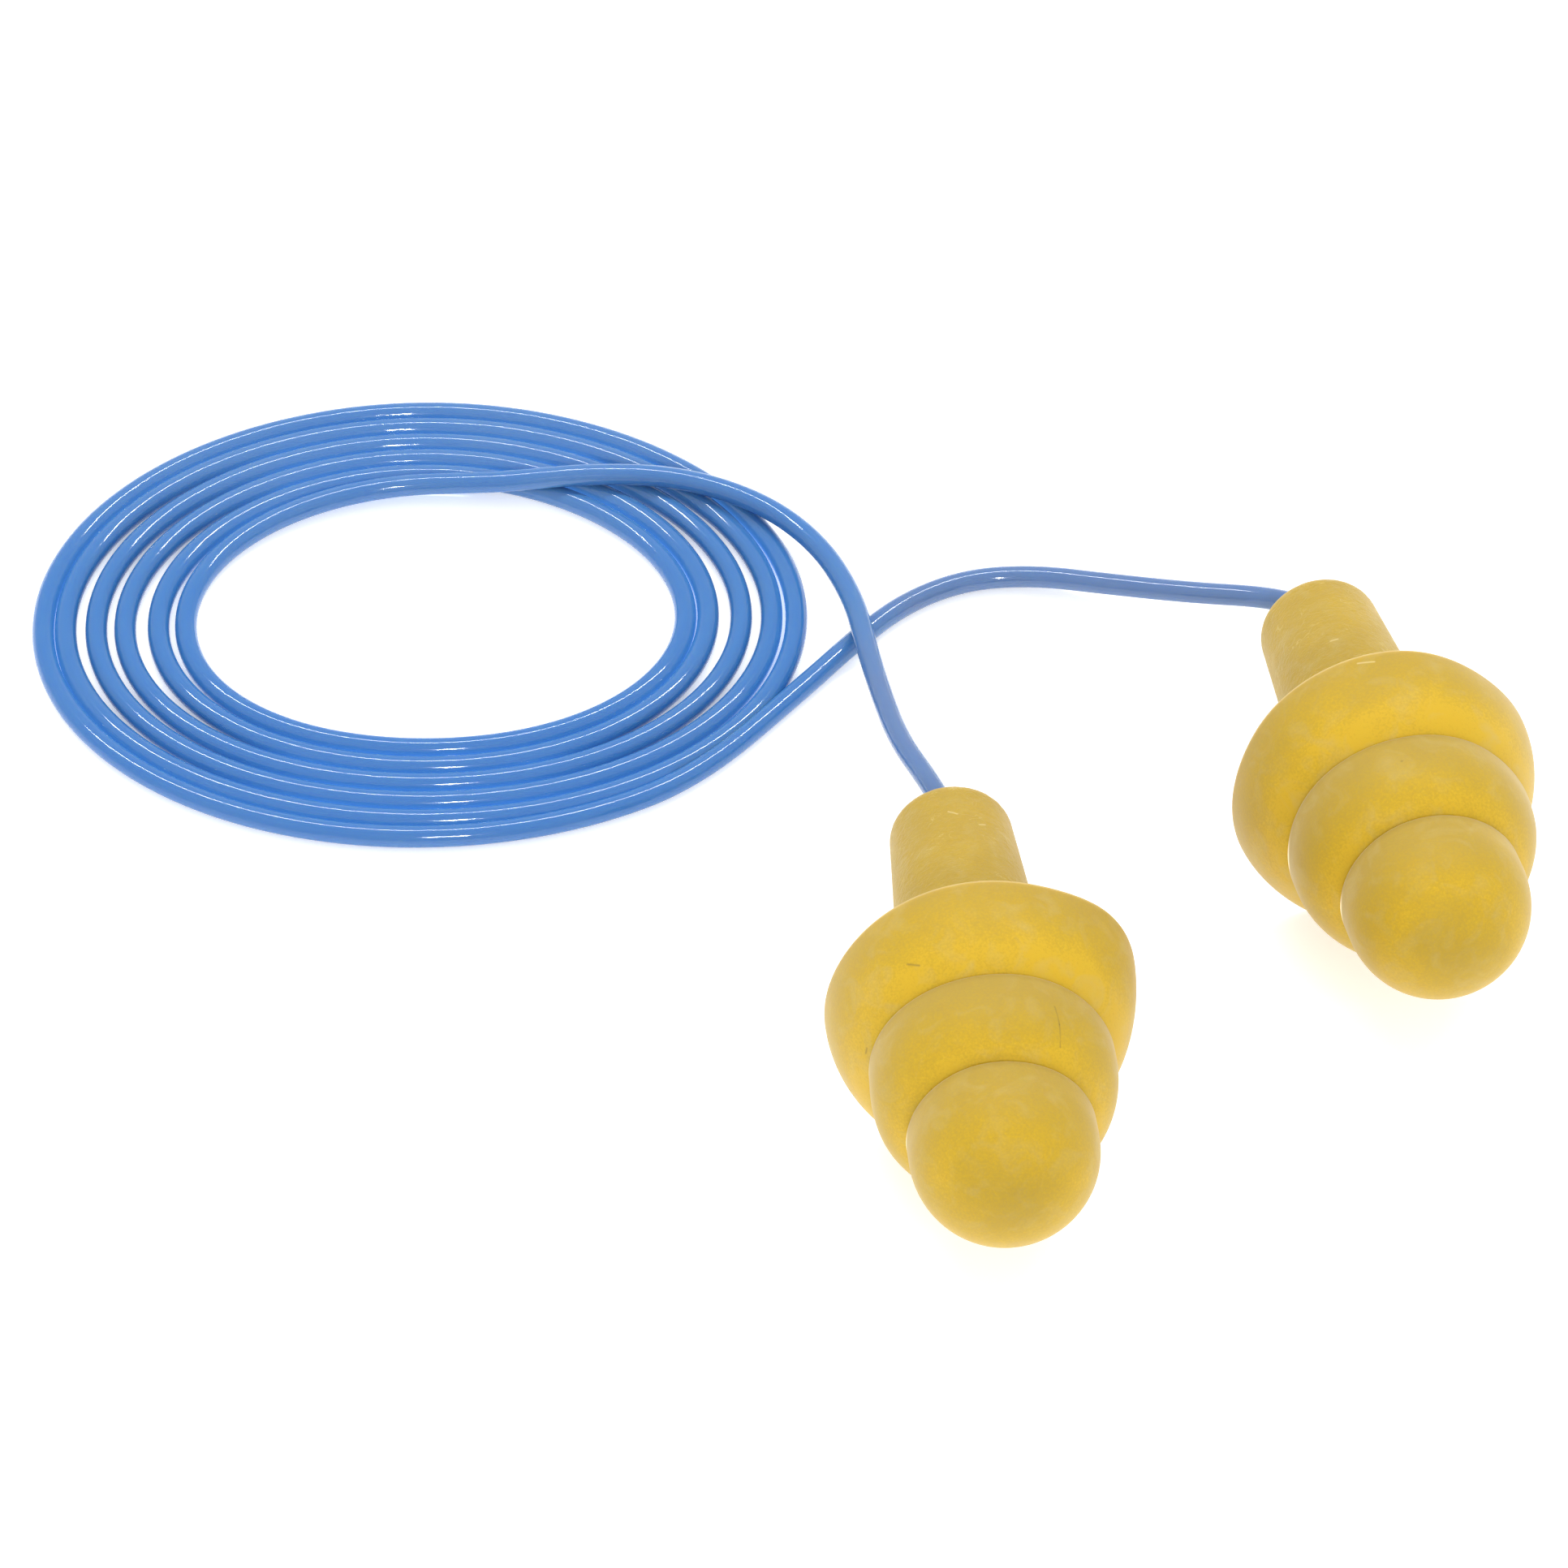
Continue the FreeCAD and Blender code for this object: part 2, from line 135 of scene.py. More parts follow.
def smooth_line(points):
    """The NURBS spline of order 3 over these points, as the polyline that Blender makes of it."""
    curve = bpy.data.curves.new("cord_line", "CURVE")
    curve.dimensions = "3D"
    curve.resolution_u = 8
    spline = curve.splines.new("NURBS")
    spline.points.add(len(points) - 1)
    spline.points.foreach_set("co", np.column_stack([points, np.ones(len(points))]).ravel())
    spline.order_u = 3
    spline.use_endpoint_u = True
    carrier = bpy.data.objects.new("cord_line", curve)
    drawn = bpy.data.meshes.new_from_object(carrier)
    line = np.empty(3 * len(drawn.vertices), dtype=np.float32)
    drawn.vertices.foreach_get("co", line)
    bpy.data.objects.remove(carrier)
    bpy.data.curves.remove(curve)
    bpy.data.meshes.remove(drawn)
    return line.reshape(-1, 3).astype(float)


def add_piece(name, rings, material):
    """A closed skin over rings of points, shape (rings, points, 3).  The first and the last ring
    are single points, the poles.  Faces point outwards when the second index goes round clockwise,
    seen along the way from the first ring to the last."""
    inner = rings[1:-1]
    count, around = inner.shape[:2]
    points = np.concatenate([rings[:1, 0], inner.reshape(-1, 3), rings[-1:, 0]])
    here = 1 + np.arange(count * around).reshape(count, around)
    beside = np.roll(here, -1, axis=1)
    quads = np.stack([here[:-1], beside[:-1], beside[1:], here[1:]], axis=-1).reshape(-1, 4)
    first = np.stack([np.zeros(around, int), beside[0], here[0]], axis=-1)
    last = np.stack([np.full(around, len(points) - 1), here[-1], beside[-1]], axis=-1)
    mesh = bpy.data.meshes.new(name)
    mesh.from_pydata(points.tolist(), [], quads.tolist() + first.tolist() + last.tolist())
    mesh.polygons.foreach_set("use_smooth", np.ones(len(mesh.polygons), dtype=bool))
    mesh.materials.append(material)
    piece = bpy.data.objects.new(name, mesh)
    scene.collection.objects.link(piece)
    return piece


def point_attribute(piece, name, values):
    """One number for each ring and point of the skin, kept as an attribute for the material."""
    inner = values[1:-1]
    flat = np.concatenate([values[:1, 0], inner.ravel(), values[-1:, 0]]).astype(np.float32)
    piece.data.attributes.new(name, "FLOAT", "POINT").data.foreach_set("value", flat)


def new_material(name):
    """A fresh node material and its shader."""
    material = bpy.data.materials.new(name)
    material.use_nodes = True
    return material, material.node_tree.nodes["Principled BSDF"]


def node(material, kind, links=(), **settings):
    """Add one node to a material.  Settings that name a socket set its value, others the node's own
    property; links are (socket, source output) pairs."""
    made = material.node_tree.nodes.new(kind)
    for key, value in settings.items():
        if hasattr(made, key):
            setattr(made, key, value)
        else:
            made.inputs[key.replace("_", " ")].default_value = value
    for socket, source in links:
        material.node_tree.links.new(source, made.inputs[socket])
    return made


def ramp(material, source, stops):
    """A colour ramp over a 0..1 value; stops are (place, colour) pairs."""
    made = node(material, "ShaderNodeValToRGB", [("Fac", source)])
    elements = made.color_ramp.elements
    while len(elements) < len(stops):
        elements.new(0.5)
    for element, (place, colour) in zip(elements, stops):
        element.position = place
        element.color = (*colour, 1.0)
    return made.outputs["Color"]


def cord_material():
    """Blue vinyl: deep where turns lie side by side, with painted light, as emission, in the
    crevices between them, painted paler where one strand lies alone, as if light came through it,
    and at the coil's back, a painted highlight; with faint clouds in the colour and a surface that
    is not quite even."""
    material, shader = new_material("blue_vinyl")
    links = material.node_tree.links
    # painted paleness where a strand lies alone, as if lit through, and at the coil's back, a
    # painted highlight
    alone = node(material, "ShaderNodeAttribute", attribute_name="alone").outputs["Fac"]
    place = node(material, "ShaderNodeTexCoord").outputs["Object"]
    clouds = node(material, "ShaderNodeTexNoise", [("Vector", place)], Scale=220.0, Detail=3.0)
    shift = node(material, "ShaderNodeMapRange", [("Value", clouds.outputs["Fac"])],
                 From_Min=0.3, From_Max=0.7, To_Min=-0.12, To_Max=0.12)
    tone = node(material, "ShaderNodeMath", [(0, alone), (1, shift.outputs["Result"])],
                operation="ADD", use_clamp=True)
    colour = ramp(material, tone.outputs["Value"],
                  [(0.0, (0.038, 0.158, 0.395)), (0.5, (0.068, 0.180, 0.385)),
                   (1.0, (0.095, 0.172, 0.335))])
    links.new(colour, shader.inputs["Base Color"])
    # painted light in the crevices between turns, given as emission
    painted_flank_light = node(material, "ShaderNodeAttribute", attribute_name="painted_flank_light").outputs["Fac"]
    painted_crevice_glow = ramp(material, painted_flank_light, [(0.0, (0.0, 0.0, 0.0)), (0.4, (0.014, 0.050, 0.120)),
                                  (1.0, (0.056, 0.205, 0.500))])
    links.new(painted_crevice_glow, shader.inputs["Emission Color"])
    shader.inputs["Emission Strength"].default_value = 1.0
    along = node(material, "ShaderNodeUVMap", uv_map="along").outputs["UV"]
    uneven = node(material, "ShaderNodeTexNoise", [("Vector", along)], Scale=1.2, Detail=3.0)
    bump = node(material, "ShaderNodeBump", [("Height", uneven.outputs["Fac"])],
                Strength=0.30, Distance=0.00004)
    links.new(bump.outputs["Normal"], shader.inputs["Normal"])
    shader.inputs["Roughness"].default_value = 0.09
    shader.inputs["IOR"].default_value = 1.52
    shader.inputs["Specular IOR Level"].default_value = 0.50
    shader.inputs["Subsurface Weight"].default_value = 0.8
    shader.inputs["Subsurface Radius"].default_value = (0.25, 0.45, 1.0)
    shader.inputs["Subsurface Scale"].default_value = 0.0010
    return material


def for_rings(values):
    """A column with one value for each ring, from one for each point of the line: the poles at the
    cord's ends repeat the first and the last."""
    return np.concatenate([values[:1], values, values[-1:]])[:, None]


def lone_share(away):
    """How far a stretch lies alone: 1 in the leads, 0 in the coil.  It grows with the distance from
    the coil's middle, measured in the coil's own half width and half depth."""
    spread = np.linalg.norm(away / (reach_right[-1], reach_back[-1]), axis=1)
    return np.clip((spread - coil_rim) / rim_fade, 0.0, 1.0)


def flank_share(away, angle):
    """Painted light, given as emission, for the light that comes through from neighbours: full low
    on the flanks that have one close beside them, none on top and on open sides.  The neighbour is
    the cord itself a turn earlier, inwards, or a turn later, outwards, and its room is the
    difference between their distances from the coil's middle."""
    wound = np.degrees(np.unwrap(np.arctan2(away[:, 1], away[:, 0])))
    reach = np.linalg.norm(away, axis=1)
    coiled = (wound >= first_angle) & (wound <= last_angle)
    nearness = []
    for turn, has_neighbour in ((-360, wound >= first_angle + 360),
                                (360, wound <= last_angle - 360)):
        room = np.abs(np.interp(wound + turn, wound[coiled], reach[coiled]) - reach)
        near = np.clip((near_room - room / cord_thickness) / near_fade, 0.0, 1.0)
        nearness.append(for_rings(near * has_neighbour))
    inside, outside = nearness
    inwards, outwards = np.clip(2 * np.cos(angle), 0, 1), np.clip(-2 * np.cos(angle), 0, 1)
    beside = (inwards * inside + outwards * outside
              + (1 - inwards - outwards) * inside * outside)
    end_on = end_on_loss * np.cos(np.radians(for_rings(wound))) ** 4
    low = np.clip(flank_painted_brightness - flank_painted_brightness * np.sin(angle), 0.0, 1.0)
    return low * beside * (1.0 - end_on)


def run_uv(cord, travelled):
    """A UV map for patterns that follow the cord: v is the way along it, and u goes out and back
    around it as a sine, so it has no seam."""
    mesh = cord.data
    corners = np.empty(len(mesh.loops), dtype=np.int32)
    mesh.loops.foreach_get("vertex_index", corners)
    ring = np.clip((corners - 1) // points_around_cord, 0, len(travelled) - 1)
    around = 2 * np.pi * ((corners - 1) % points_around_cord) / points_around_cord
    uv = np.stack([bump_around * np.sin(around), travelled[ring] * bump_along], axis=1)
    mesh.uv_layers.new(name="along").data.foreach_set("uv", uv.astype(np.float32).ravel())


def make_cord():
    """The cord's tube: a circle carried along the smooth line.  Its frame is the line's direction,
    the level sideways direction and the one square to both."""
    left_start, right_start = cord_end("left_ear_canal"), cord_end("right_ear_canal")
    line = smooth_line(np.concatenate(
        [left_start, left_route, coil_turns(), right_route[::-1], right_start[::-1]]))
    ahead = np.gradient(line, axis=0)
    ahead /= np.linalg.norm(ahead, axis=1, keepdims=True)
    aside = np.cross((0.0, 0.0, 1.0), ahead)
    aside /= np.linalg.norm(aside, axis=1, keepdims=True)
    above = np.cross(ahead, aside)
    angle = 2 * np.pi * np.arange(points_around_cord) / points_around_cord
    spoke = (np.cos(angle)[None, :, None] * aside[:, None]
             + np.sin(angle)[None, :, None] * above[:, None])
    rings = line[:, None] + cord_thickness / 2 * spoke
    start, end = [np.broadcast_to(tip, (1, points_around_cord, 3)) for tip in (line[0], line[-1])]
    cord = add_piece("cord", np.concatenate([start, rings, end]), cord_material())

    away = line[:, :2] - coil_middle
    # painted paleness: lone strands as if lit through, and the coil's back, a painted highlight
    alone = for_rings(lone_share(away))
    behind = for_rings(np.clip(away[:, 1] / back_depth, 0.0, 1.0) * back_painted_paleness)
    point_attribute(cord, "alone", np.maximum(alone, behind) * np.ones((1, points_around_cord)))
    # painted crevice light on the flanks, none where a strand lies alone
    point_attribute(cord, "painted_flank_light", flank_share(away, angle) * (1.0 - alone))
    step = np.linalg.norm(np.diff(line, axis=0), axis=1)
    travelled = np.concatenate([[0.0], np.cumsum(step)])
    run_uv(cord, travelled)

    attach(cord, "root")
    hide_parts("left_cord_end", "left_lead", "cord_coil", "right_lead", "right_cord_end")
    print(f"cord: {travelled[-1]:.4f} m long")


make_cord()

# ---- Plugs -------------------------------------------------------------------------------------
# Each plug is one moulding of soft, matte, slightly see-through yellow polymer: three umbrella
# flanges, each hollow behind its rim, on a core that runs on as the finger stem.  A blind bore in
# the stem's end takes the cord.  Handling has bent some of the thin rims a little.
points_around = 240
# how far apart the outline's points are: as a rule, on the creased stem, and inside the bore
outline_step, crease_step, bore_step = 0.00015, 0.00011, 0.0005
bore_radius, bore_bottom, bore_mouth = 0.00049, 0.00564, 0.00010
# every flange: its rim's radius and place on the axis, its straight skirt, its dome's radius, the
# colour's depth at the rim and where the next rim covers it, a painted glow, and the share of the
# dome in sight
flanges = [(0.00628, 0.00000, 0.00007, 0.00590, 0.22, 1.00, 0.45),
           (0.00503, 0.00433, 0.00065, 0.00370, 0.02, 0.95, 0.64),
           (0.00379, 0.00826, 0.00093, 0.00379, 0.08, 0.72, 0.50)]
lip_thickness, hollow_drop, core_radius, waist_radius = 0.00036, 0.00070, 0.00240, 0.00244
stem_end_radius, stem_root_radius, stem_edge = 0.00257, 0.00322, 0.00090
# the colour's depth on the stem and in the hollows, how steeply the painted glow deepens along a
# dome, and how much it falls again over the tip's last share, a painted shade where the tip faces
# down
stem_depth, hollow_depth, deepening, tip_painted_shade, tip_share = 0.26, 0.30, 1.4, 0.40, 0.40
# how far up a flange a bent rim pulls it, in shares of its height, and how steeply that fades
bend_reach, bend_fade = 0.8, 1.5
rim_edge_width = 0.00010
# bent rims: flange, place around in degrees from the right-hand side, half width, outwards, back
bends = {"left": [(0, 32, 24, 0.00032, 0.00026), (0, -14, 18, -0.00010, 0.00010),
                  (0, 150, 24, -0.00008, 0.0), (1, 190, 22, -0.00020, 0.0),
                  (1, -8, 22, -0.00006, 0.00004)],
         "right": [(0, 212, 30, 0.00026, 0.0), (0, 45, 28, -0.00020, 0.0),
                   (0, 160, 20, -0.00010, 0.0), (1, 0, 24, 0.00020, 0.0)]}
rim_wave, crease_depth, crease_count = 0.00002, 0.00004, 14
# small marks: dark or not, width, and points given as degrees around and place on the axis
marks = {"left": [(True, 0.00007, (124, 0.00300), (120, 0.00325)),
                  (True, 0.00005, (61, 0.00590), (58, 0.00670), (56, 0.00746)),
                  (True, 0.00006, (169, 0.00390), (167, 0.00396)),
                  (False, 0.00006, (96, -0.00950), (88, -0.00935)),
                  (False, 0.00005, (70, -0.00870), (64, -0.00880))],
         "right": [(True, 0.00008, (98, 0.00597), (98, 0.00600)),
                   (False, 0.00007, (94, 0.00075), (100, 0.00060)),
                   (False, 0.00007, (98, -0.00640), (104, -0.00650))]}
# a rim's edge has painted light, as if lit from behind, at the plug's two sides, around this height
# on its circle, and painted shade elsewhere; the base flange's has only a little painted light all
# round
side_height, side_spread = -0.04, 0.14
painted_side_light, painted_edge_darkness, base_painted_light = 0.95, 0.45, 0.07
# the colours of the pale bloom, of the painted shade and painted light on rim edges and the painted
# glow behind them, of nicks and of the small marks
bloom_colour, painted_edge_shade, painted_edge_light = (0.45, 0.35, 0.13), (0.24, 0.17, 0.022), (0.95, 0.86, 0.58)
painted_edge_glow, nick_colour = (0.70, 0.59, 0.34), (0.58, 0.46, 0.16)
dark_mark, light_mark, mark_strength = (0.16, 0.11, 0.025), (0.70, 0.57, 0.27), 0.6
# how strong nicks and the leathery bump are all over, and how much stronger on the stem
nicks_all_over, nicks_on_stem, leather_all_over, leather_on_stem = 0.04, 0.38, 0.15, 0.85
# the outline's columns
off_axis, on_axis, colour_depth, follows, on_flange, on_edge, on_stem = range(7)


def arc(centre, radius, start, end):
    """Points of a circle's arc from one angle to the other, in degrees, an outline step apart."""
    count = max(6, int(abs(np.radians(end - start)) * radius / outline_step) + 1)
    angle = np.radians(np.linspace(start, end, count))
    return np.stack([centre[0] + radius * np.cos(angle),
                     centre[1] + radius * np.sin(angle)], axis=1)


def straight(start, end, step=outline_step):
    """Points of a straight line from one point to the other, a step apart."""
    count = max(2, int(np.hypot(end[0] - start[0], end[1] - start[1]) / step) + 1)
    return np.linspace(start, end, count)


def stretch(points, depth, follow=0.0, flange=-1, edge=0.0, stem=0.0):
    """A stretch of the outline as rows of: distance from the axis, place on the axis, depth of the
    colour, how far it follows a bent rim, which flange it is on, rim's edge or not, stem or not."""
    columns = [np.broadcast_to(value, len(points)) for value in (depth, follow, flange, edge, stem)]
    return np.column_stack([points, *columns])


def flange_outline(index, foot):
    """One flange, from where its hollow leaves the core to where its dome meets the core again.
    The hollow is part of a sphere centred below the rim, the rim a full round, and the dome a
    circle's arc that ends at the core or, on the tip, at the axis.  The colour deepens along the
    dome towards the next rim, a painted glow, and on the tip fades again, a painted shade."""
    rim_radius, rim_at, skirt, dome_radius, pale, deep, in_sight = flanges[index]
    inner = rim_radius - lip_thickness
    hollow_radius = np.hypot(inner, hollow_drop)
    hollow = arc((0.0, rim_at - hollow_drop), hollow_radius,
                 np.degrees(np.arccos(foot / hollow_radius)),
                 np.degrees(np.arctan2(hollow_drop, inner)))
    lip = arc((rim_radius - lip_thickness / 2, rim_at), lip_thickness / 2, 180, 360)
    wall = straight((rim_radius, rim_at), (rim_radius, rim_at + skirt))
    middle = (rim_radius - dome_radius, rim_at + skirt)
    is_tip = index == len(flanges) - 1
    crown = 90.0 if is_tip else np.degrees(np.arccos((core_radius - middle[0]) / dome_radius))
    dome = arc(middle, dome_radius, 0.0, crown)
    outside = np.concatenate([wall[:-1], dome])
    travelled = np.linspace(0.0, 1.0, len(outside))
    nearness = np.clip(travelled / in_sight, 0.0, 1.0)
    # painted glow: the colour deepens towards the next rim; on the tip, painted shade over its last
    # share
    depth = pale + (deep - pale) * nearness ** deepening
    if is_tip:
        depth = depth - tip_painted_shade * np.clip((travelled - 1.0 + tip_share) / tip_share, 0.0, 1.0)
    height = dome_radius + skirt
    follow = [np.clip(1 - (part[:, 1] - rim_at) / (bend_reach * height), 0, 1) ** bend_fade
              for part in (hollow[:-1], lip[:-1], outside)]
    edge = np.exp(-(travelled * height / rim_edge_width) ** 2)
    return np.concatenate([
        stretch(hollow[:-1], hollow_depth, follow[0], index),
        stretch(lip[:-1], pale, follow[1], index, 1.0),
        stretch(outside, depth, follow[2], index, edge)])


def plug_outline():
    """The half section of the moulding, from the bottom of the bore, out over the stem, and over
    the three flanges to the tip."""
    mouth = bore_radius + bore_mouth
    edge_middle = (stem_end_radius - stem_edge, stem_edge - stem_end)
    hollow_radius = np.hypot(flanges[0][0] - lip_thickness, hollow_drop)
    waist = (waist_radius, np.sqrt(hollow_radius ** 2 - waist_radius ** 2) - hollow_drop)
    rows = [stretch(np.array([[0.0, -bore_bottom]]), stem_depth),
            stretch(straight((bore_radius, -bore_bottom), (bore_radius, bore_mouth - stem_end),
                             bore_step), stem_depth),
            stretch(arc((mouth, bore_mouth - stem_end), bore_mouth, 180, 270)[1:],
                    stem_depth, stem=1.0),
            stretch(straight((mouth, -stem_end), (edge_middle[0], -stem_end))[1:-1],
                    stem_depth, stem=1.0),
            stretch(arc(edge_middle, stem_edge, -90, 0), stem_depth, stem=1.0),
            stretch(straight((stem_end_radius, stem_edge - stem_end), (stem_root_radius, 0.0),
                             crease_step)[1:-1], stem_depth, stem=1.0),
            stretch(straight((stem_root_radius, 0.0), waist)[:-1], hollow_depth)]
    for index in range(len(flanges)):
        rows.append(flange_outline(index, waist_radius if index == 0 else core_radius))
    return np.concatenate(rows)


def plug_rings(side, outline):
    """The outline turned about the plug's axis.  A bend adds to the distance from the axis, and
    takes from the place on it, a bell curve over the angle times how far the point follows.  The
    rims wave a little everywhere, as two sines of the angle.  The stem's skin is finely creased:
    the size of a sum of waves that run along and around it, and fade towards the bore."""
    radius, along, follow, flange, stem = [
        outline[:, column, None] for column in (off_axis, on_axis, follows, on_flange, on_stem)]
    angle = 2 * np.pi * np.arange(points_around)[None] / points_around
    for which, middle, half_width, out, back in bends[side]:
        away = (np.degrees(angle) - middle + 180) % 360 - 180
        bell = np.exp(-(away / half_width) ** 2) * follow * (flange == which)
        radius, along = radius + out * bell, along - back * bell
    wave = np.sin(2 * angle + 1.1 + flange) + 0.6 * np.sin(5 * angle + 2.3 * flange)
    radius = radius + rim_wave * follow * wave
    chance = np.random.default_rng(5)
    creases = np.zeros((len(outline), points_around))
    for _ in range(crease_count):
        length, turns = chance.uniform(0.00030, 0.00080), chance.integers(-30, 31)
        start = chance.uniform(0, 6.28)
        creases += np.sin(2 * np.pi * along / length + turns * angle + start) / crease_count
    off_bore = np.clip(radius / 0.002 - 0.4, 0, 1)
    radius = radius - crease_depth * stem * np.abs(creases) * off_bore
    place = np.array(mounts[side + "_ear_canal"]["pos_m"])
    heading = np.array(mounts[side + "_ear_canal"]["axis"])
    aside = np.cross((0.0, 0.0, 1.0), heading)
    aside /= np.linalg.norm(aside)
    above = np.cross(heading, aside)
    spoke = np.cos(angle)[..., None] * aside + np.sin(angle)[..., None] * above
    return place + along[..., None] * heading + radius[..., None] * spoke


def maths(material, operation, *values, clamp=False):
    """One arithmetic node; each value is a number or another node's output."""
    made = node(material, "ShaderNodeMath", operation=operation, use_clamp=clamp)
    for socket, value in zip(made.inputs, values):
        if isinstance(value, (int, float)):
            socket.default_value = value
        else:
            material.node_tree.links.new(value, socket)
    return made.outputs["Value"]


def tint(material, share, under, over):
    """Mix a colour over another by a share; a colour is three numbers or another node's output."""
    made = node(material, "ShaderNodeMix", [("Factor", share)], data_type="RGBA")
    for socket, colour in ((made.inputs[6], under), (made.inputs[7], over)):
        if isinstance(colour, tuple):
            socket.default_value = (*colour, 1.0)
        else:
            material.node_tree.links.new(colour, socket)
    return made.outputs[2]


def grain(material, place, size, detail=3.0, low=0.3, high=0.7, least=0.0, most=1.0, twist=0.0):
    """Cloudy noise of a size in metres, spread over a range of values."""
    noise = node(material, "ShaderNodeTexNoise", [("Vector", place)], Scale=1.0 / size,
                 Detail=detail, Distortion=twist)
    spread = node(material, "ShaderNodeMapRange", [("Value", noise.outputs["Fac"])],
                  From_Min=low, From_Max=high, To_Min=least, To_Max=most)
    return spread.outputs["Result"]


def scratch(material, place, start, end, width):
    """1 on a short line between two points of the object, 0 beyond its width, by the distance from
    a point to its nearest point of the line.  That one lies at the share dot(point - start, run) /
    dot(run, run) of the run, kept within 0 and 1."""
    start, end = np.array(start), np.array(end)
    run = end - start
    apart = node(material, "ShaderNodeVectorMath", [(0, place)], operation="SUBTRACT")
    apart.inputs[1].default_value = start
    dot = node(material, "ShaderNodeVectorMath", [(0, apart.outputs["Vector"])],
               operation="DOT_PRODUCT")
    dot.inputs[1].default_value = run / max(run @ run, 1e-12)
    share = maths(material, "ADD", dot.outputs["Value"], 0.0, clamp=True)
    nearest = node(material, "ShaderNodeVectorMath", [(3, share)], operation="SCALE")
    nearest.inputs[0].default_value = run
    gap = node(material, "ShaderNodeVectorMath",
               [(0, apart.outputs["Vector"]), (1, nearest.outputs["Vector"])], operation="DISTANCE")
    spread = node(material, "ShaderNodeMapRange", [("Value", gap.outputs["Value"])],
                  From_Min=0.0, From_Max=width, To_Min=1.0, To_Max=0.0)
    return spread.outputs["Result"]


def plug_material(side, lines):
    """Yellow polymer.  Its colour is powdery and pale at each rim, with a painted glow, deep where
    the next rim covers it; clouds, a pale bloom and fine grain break it up.  The rims' edges carry
    painted light, in colour and emission, at the plug's two sides, and painted shade elsewhere.
    The stem is creased and nicked, and the small marks lie over all of it."""
    material, shader = new_material(side + "_yellow_polymer")
    links = material.node_tree.links
    depth, edge, painted_rim_shade, stem = [
        node(material, "ShaderNodeAttribute", attribute_name=name).outputs["Fac"]
        for name in ("depth", "edge", "painted_rim_shade", "stem")]
    place = node(material, "ShaderNodeTexCoord").outputs["Object"]
    clouds = grain(material, place, 0.0024, 4.0, 0.3, 0.7, -0.13, 0.13, 0.6)
    specks = grain(material, place, 0.00010, 2.0, 0.25, 0.75, -0.20, 0.20)
    tone = maths(material, "ADD", maths(material, "ADD", depth, clouds), specks, clamp=True)
    colour = ramp(material, tone, [(0.0, (0.368, 0.248, 0.032)), (0.25, (0.392, 0.262, 0.027)),
                                   (0.55, (0.432, 0.284, 0.018)), (0.8, (0.486, 0.314, 0.013)),
                                   (1.0, (0.548, 0.350, 0.014))])
    bloom = grain(material, place, 0.0013, 6.0, 0.50, 0.80, 0.0, 0.38, 1.0)
    colour = tint(material, bloom, colour, bloom_colour)
    # painted shade on the rims' top edges, then painted light on their side edges
    colour = tint(material, painted_rim_shade, colour, painted_edge_shade)
    colour = tint(material, edge, colour, painted_edge_light)
    ridge = node(material, "ShaderNodeTexNoise", [("Vector", place)], Scale=2100.0, Detail=1.0,
                 Distortion=0.8).outputs["Fac"]
    ridge = maths(material, "ABSOLUTE", maths(material, "SUBTRACT", ridge, 0.5))
    ridge = node(material, "ShaderNodeMapRange", [("Value", ridge)], From_Min=0.0, From_Max=0.028,
                 To_Min=1.0, To_Max=0.0).outputs["Result"]
    where = grain(material, place, 0.0009, 2.0, 0.56, 0.64)
    nicks = maths(material, "MULTIPLY", maths(material, "MULTIPLY", ridge, where),
                  maths(material, "MULTIPLY_ADD", stem, nicks_on_stem, nicks_all_over))
    colour = tint(material, nicks, colour, nick_colour)
    for is_dark, width, line in lines:
        for start, end in zip(line, line[1:]):
            share = scratch(material, place, start, end, width)
            colour = tint(material, maths(material, "MULTIPLY", share, mark_strength), colour,
                          dark_mark if is_dark else light_mark)
    links.new(colour, shader.inputs["Base Color"])
    # painted glow: emission on the rims' lit side edges
    links.new(tint(material, edge, (0.0, 0.0, 0.0), painted_edge_glow), shader.inputs["Emission Color"])
    shader.inputs["Emission Strength"].default_value = 1.0
    leather = grain(material, place, 0.00034, 5.0, 0.2, 0.8, 0.0, 1.0, 1.6)
    skin = maths(material, "MULTIPLY", leather,
                 maths(material, "MULTIPLY_ADD", stem, leather_on_stem, leather_all_over))
    bump = node(material, "ShaderNodeBump", [("Height", skin)], Strength=0.6, Distance=0.00004)
    links.new(bump.outputs["Normal"], shader.inputs["Normal"])
    shader.inputs["Roughness"].default_value = 0.58
    shader.inputs["Specular IOR Level"].default_value = 0.22
    shader.inputs["Sheen Weight"].default_value = 0.22
    shader.inputs["Sheen Roughness"].default_value = 0.45
    shader.inputs["Sheen Tint"].default_value = (1.0, 0.86, 0.74, 1.0)
    shader.inputs["Subsurface Weight"].default_value = 0.35
    shader.inputs["Subsurface Radius"].default_value = (1.0, 0.55, 0.12)
    shader.inputs["Subsurface Scale"].default_value = 0.0009
    return material


def skin_point(rings, outline, degrees, along):
    """The outermost point of a plug's skin at a place around and a place on the axis."""
    level = np.abs(outline[:, on_axis] - along) < 2 * outline_step
    ring = np.argmax(np.where(level, outline[:, off_axis], -1.0))
    return rings[ring, int(round(degrees / 360 * points_around)) % points_around]


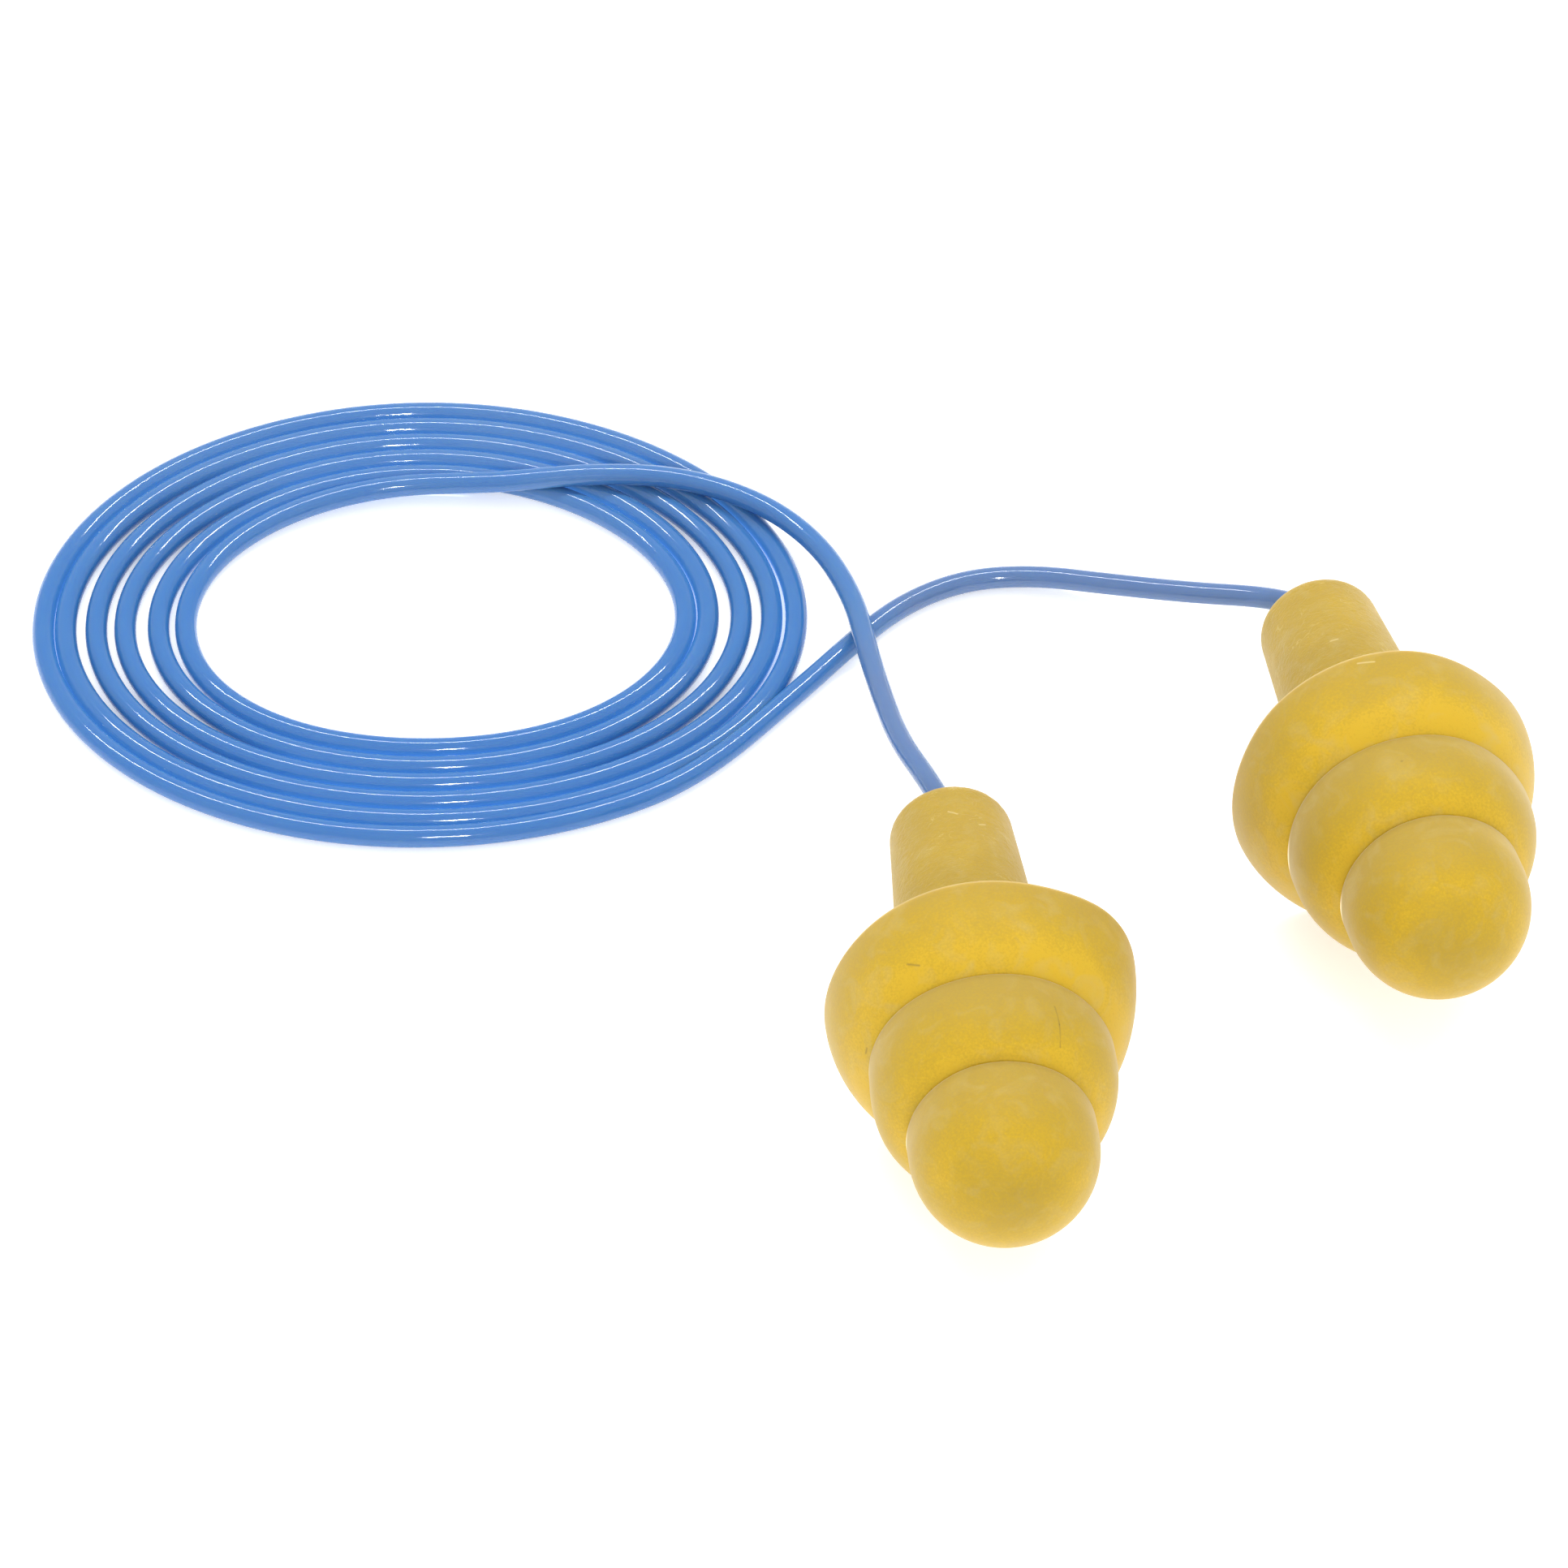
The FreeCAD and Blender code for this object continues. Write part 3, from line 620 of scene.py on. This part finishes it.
def make_plug(side):
    """One plug's skin and its colour attributes.  The painted light at the two sides of a rim is a
    bell curve over the height on the rim's circle."""
    outline = plug_outline()
    rings = plug_rings(side, outline)
    lines = [(is_dark, width, [skin_point(rings, outline, *place) for place in places])
             for is_dark, width, *places in marks[side]]
    piece = add_piece(side + "_flanged_plug", rings, plug_material(side, lines))
    angle = 2 * np.pi * np.arange(points_around)[None] / points_around
    # painted light and painted shade on the rims' edges
    lit_sides_bell = np.exp(-((np.sin(angle) - side_height) / side_spread) ** 2)
    is_base = (outline[:, on_flange] == 0)[:, None]
    painted_light_edge = np.where(is_base, base_painted_light, painted_side_light * lit_sides_bell)
    painted_dark_edge = np.where(is_base, 0.0, painted_edge_darkness * (1.0 - lit_sides_bell))
    for name, column, share in (("depth", colour_depth, 1.0), ("edge", on_edge, painted_light_edge),
                                ("painted_rim_shade", on_edge, painted_dark_edge), ("stem", on_stem, 1.0)):
        values = outline[:, column, None] * share * np.ones((1, points_around))
        point_attribute(piece, name, values)
    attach(piece, "root")
    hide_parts(side + "_plug")
    print(f"{piece.name}: {2 * len(piece.data.polygons)} triangles at most")


for side in ("left", "right"):
    make_plug(side)

# ---- Bonds -------------------------------------------------------------------------------------
# A drop of clear adhesive, cured at the bottom of each bore, holds the cord's end.  Both keep the
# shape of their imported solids.
bond_material, bond_shader = new_material("cured_adhesive")
bond_place = node(bond_material, "ShaderNodeTexCoord").outputs["Object"]
bubbles = grain(bond_material, bond_place, 0.00012, 2.0, 0.35, 0.65)
bond_colour = ramp(bond_material, bubbles, [(0.0, (0.60, 0.56, 0.44)), (1.0, (0.74, 0.71, 0.60))])
bond_material.node_tree.links.new(bond_colour, bond_shader.inputs["Base Color"])
bond_shader.inputs["Roughness"].default_value = 0.18
bond_shader.inputs["Transmission Weight"].default_value = 0.5
for side in ("left", "right"):
    bond = bpy.data.objects[side + "_bond"]
    bond.data.materials.clear()
    bond.data.materials.append(bond_material)

# ---- Table and light ---------------------------------------------------------------------------
# A plain white surface, a bright white room, one long soft lamp above and behind, one small lamp
# by the camera.


def pale_table():
    """The surface that everything lies on."""
    material, shader = new_material("white_card")
    shader.inputs["Base Color"].default_value = (0.92, 0.92, 0.92, 1.0)
    shader.inputs["Roughness"].default_value = 0.9
    shader.inputs["Specular IOR Level"].default_value = 0.1
    shader.inputs["Emission Color"].default_value = (1.0, 1.0, 1.0, 1.0)
    shader.inputs["Emission Strength"].default_value = 0.35
    half = 3.0
    mesh = bpy.data.meshes.new("table")
    mesh.from_pydata([(-half, -half, 0), (half, -half, 0), (half, half, 0), (-half, half, 0)], [],
                     [(0, 1, 2, 3)])
    mesh.materials.append(material)
    table = bpy.data.objects.new("table", mesh)
    scene.collection.objects.link(table)


def lamp(name, place, width, height, power):
    """A rectangular soft lamp that faces the middle of the object."""
    data = bpy.data.lights.new(name, "AREA")
    data.shape = "RECTANGLE"
    data.size, data.size_y = width, height
    data.energy = power
    made = bpy.data.objects.new(name, data)
    made.location = place
    made.rotation_euler = (Vector(place) - look_at).to_track_quat("Z", "Y").to_euler()
    scene.collection.objects.link(made)


pale_table()
lamp("overhead_lamp", (-0.02, 0.25, 0.55), 0.70, 0.03, 2.6)
lamp("front_lamp", (0.0, -0.45, 0.38), 0.06, 0.04, 0.8)
world = bpy.data.worlds.new("white_room")
world.use_nodes = True
world.node_tree.nodes["Background"].inputs["Color"].default_value = (1.0, 1.0, 1.0, 1.0)
world.node_tree.nodes["Background"].inputs["Strength"].default_value = 0.93
scene.world = world
scene.view_settings.view_transform = "Standard"
